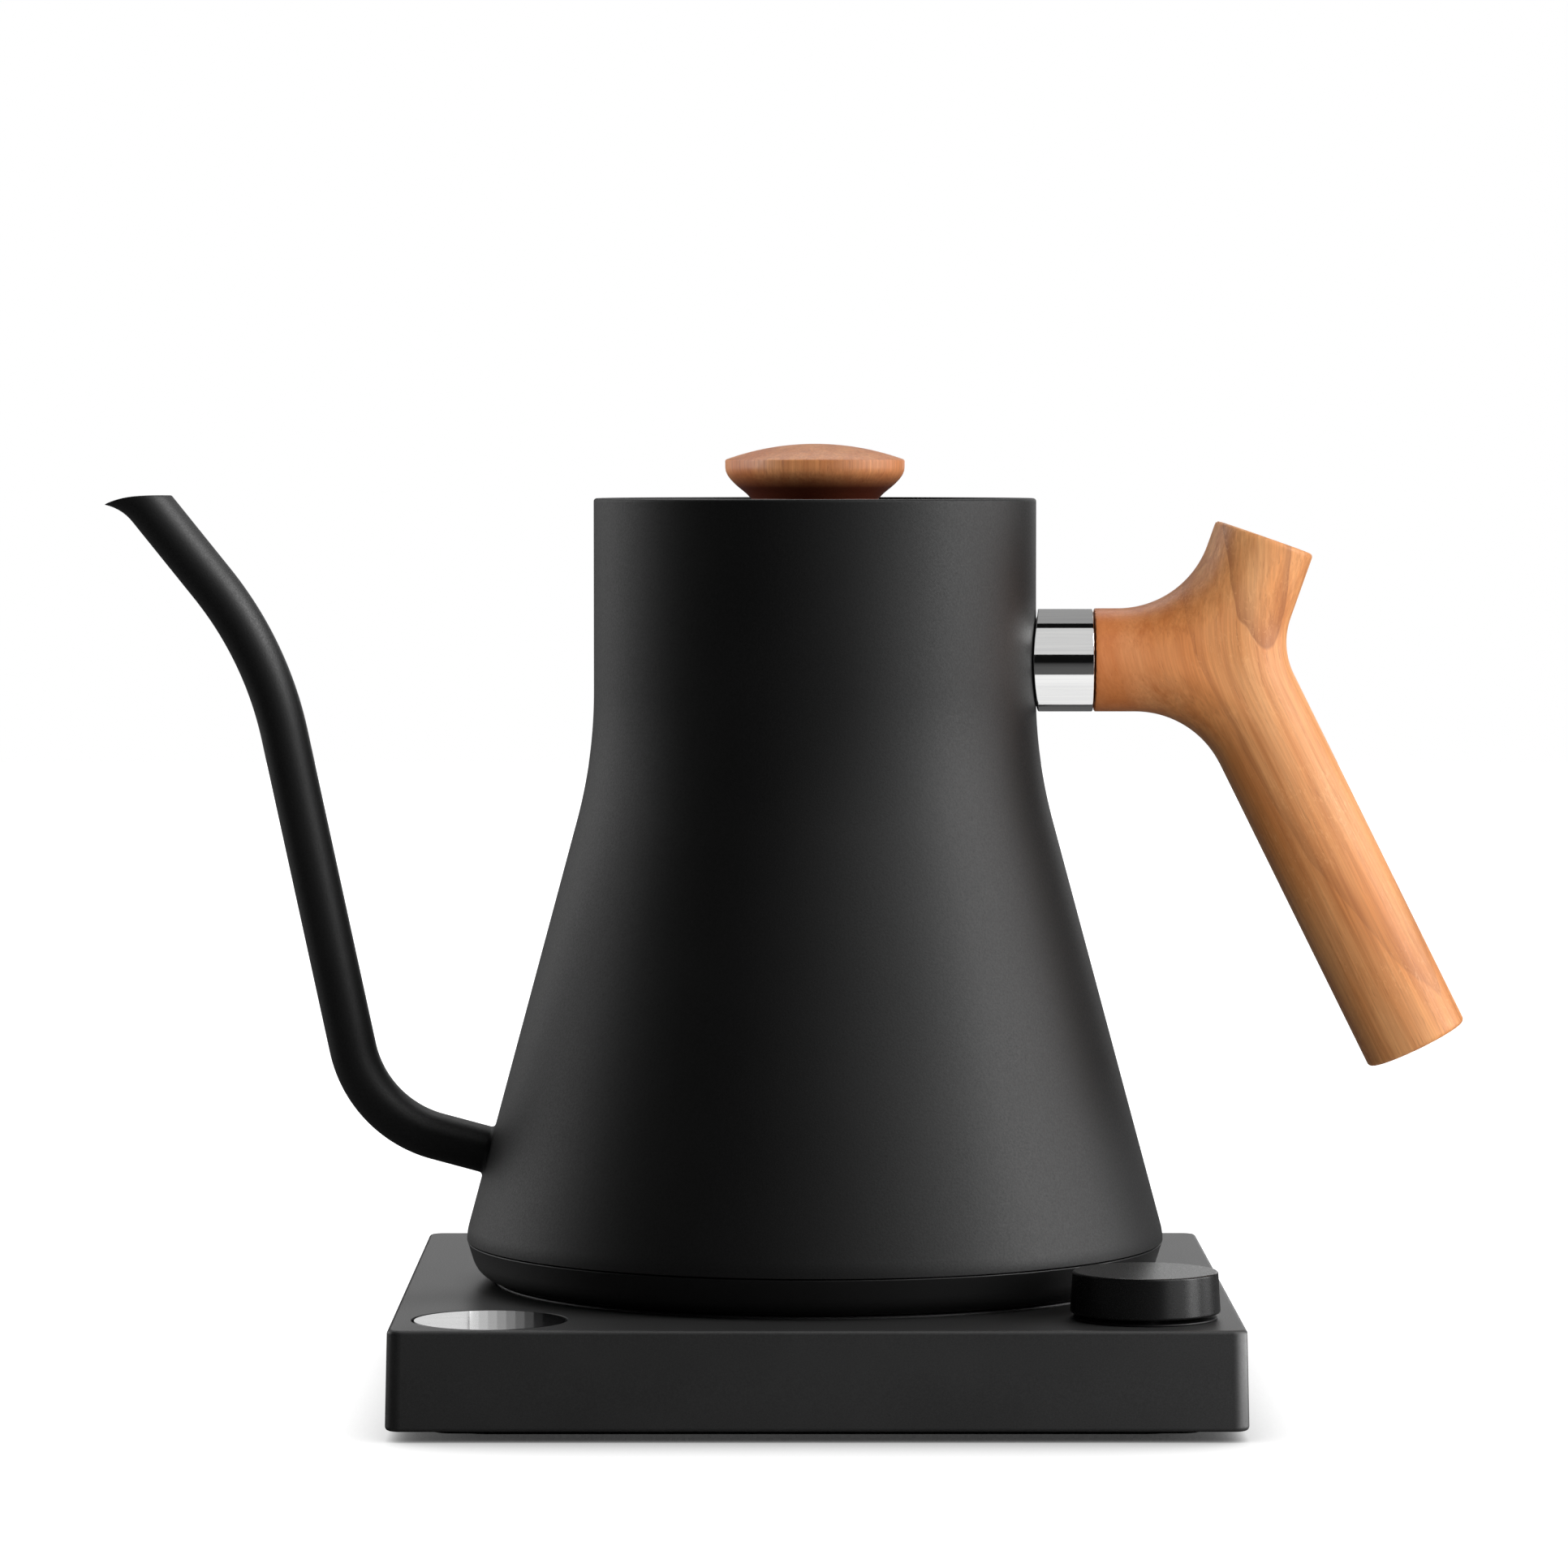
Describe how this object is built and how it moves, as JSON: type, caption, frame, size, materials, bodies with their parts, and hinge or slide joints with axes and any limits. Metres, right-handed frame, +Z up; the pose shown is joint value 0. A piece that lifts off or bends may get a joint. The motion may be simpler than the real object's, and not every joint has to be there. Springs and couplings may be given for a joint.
{
  "type": "gooseneck kettle",
  "caption": "Electric gooseneck kettle on a square powered base, with a wooden forked handle, a lift-out lid and a press-and-turn dial.",
  "frame": {"origin": "on the kettle's axis, at the underside of the foot pad, where the base rests on the table", "axes": "+Z up, +X towards the handle and away from the spout, -Y towards the dial and the display"},
  "size_m": [0.2914, 0.1764, 0.2021],
  "materials": {
    "powder_coat": "fine matte texture",
    "base_plastic": "satin matte",
    "dark_plastic": "satin",
    "rubber": "matte",
    "polished_steel": "polished",
    "brushed_steel": "brushed",
    "aluminium": "satin",
    "brass": "satin",
    "cherry_wood": "oiled satin",
    "walnut_wood": "oiled satin",
    "silicone": "matte",
    "display_lens": "mirror gloss",
    "circuit_board": "solder mask",
    "component": "moulded"
  },
  "bodies": {
    "base": {"base_shell": "base_plastic", "base_bottom_cover": "dark_plastic", "foot_pad": "rubber", "dock_plate": "base_plastic", "base_connector_housing": "dark_plastic", "base_connector_pin": "brass", "base_contact_ring": "brass", "power_board": "circuit_board", "relay": "component", "control_board": "circuit_board", "display_module": "component", "display_lens": "display_lens", "dial_collar": "dark_plastic", "encoder_body": "component", "cord_gland": "dark_plastic", "hold_switch_body": "component", "base_screw_1": "brushed_steel", "base_screw_2": "brushed_steel", "base_screw_3": "brushed_steel", "base_screw_4": "brushed_steel"},
    "dial_plunger": {"encoder_plunger": "brass"},
    "dial": {"encoder_shaft": "brushed_steel", "dial_insert": "dark_plastic", "dial_knob": "powder_coat"},
    "hold_switch": {"hold_slider": "dark_plastic"},
    "coupler": {"kettle_connector_housing": "dark_plastic", "kettle_connector_socket": "brass", "kettle_contact_ring": "brass"},
    "kettle": {"body_shell": "powder_coat", "neck_ring": "brushed_steel", "vessel_floor": "brushed_steel", "heat_spreader": "aluminium", "heating_element": "brushed_steel", "thermostat": "component", "temperature_probe": "brushed_steel", "probe_seal": "silicone", "kettle_bottom_cover": "dark_plastic", "spout_tube": "powder_coat", "handle_ferrule": "polished_steel", "handle_boss": "brushed_steel", "handle_stud": "brushed_steel", "handle_insert": "brass", "handle_grip": "cherry_wood", "underside_screw_1": "brushed_steel", "underside_screw_2": "brushed_steel", "underside_screw_3": "brushed_steel"},
    "lid": {"lid_disc": "powder_coat", "lid_skirt": "brushed_steel", "lid_seal": "silicone", "lid_knob": "walnut_wood", "lid_insert": "brass", "lid_screw": "brushed_steel", "lid_washer": "brushed_steel"}
  },
  "joints": [
    {"name": "kettle_lift", "type": "slide", "parent": "base", "child": "coupler", "axis": [0, 0, 1], "range_m": [0, 0.06]},
    {"name": "kettle_spin", "type": "hinge", "parent": "coupler", "child": "kettle", "pos_m": [0, 0, 0.03], "axis": [0, 0, 1], "continuous": true},
    {"name": "lid_lift", "type": "slide", "parent": "kettle", "child": "lid", "axis": [0, 0, 1], "range_m": [0, 0.05]},
    {"name": "dial_press", "type": "slide", "parent": "base", "child": "dial_plunger", "axis": [0, 0, -1], "range_m": [0, 0.0005], "stiffness_N_per_m": 1500, "springref_m": -0.001},
    {"name": "dial_turn", "type": "hinge", "parent": "dial_plunger", "child": "dial", "pos_m": [0.0674, -0.067, 0.025], "axis": [0, 0, 1], "continuous": true},
    {"name": "hold_slide", "type": "slide", "parent": "base", "child": "hold_switch", "axis": [1, 0, 0], "range_m": [0, 0.006]}
  ]
}
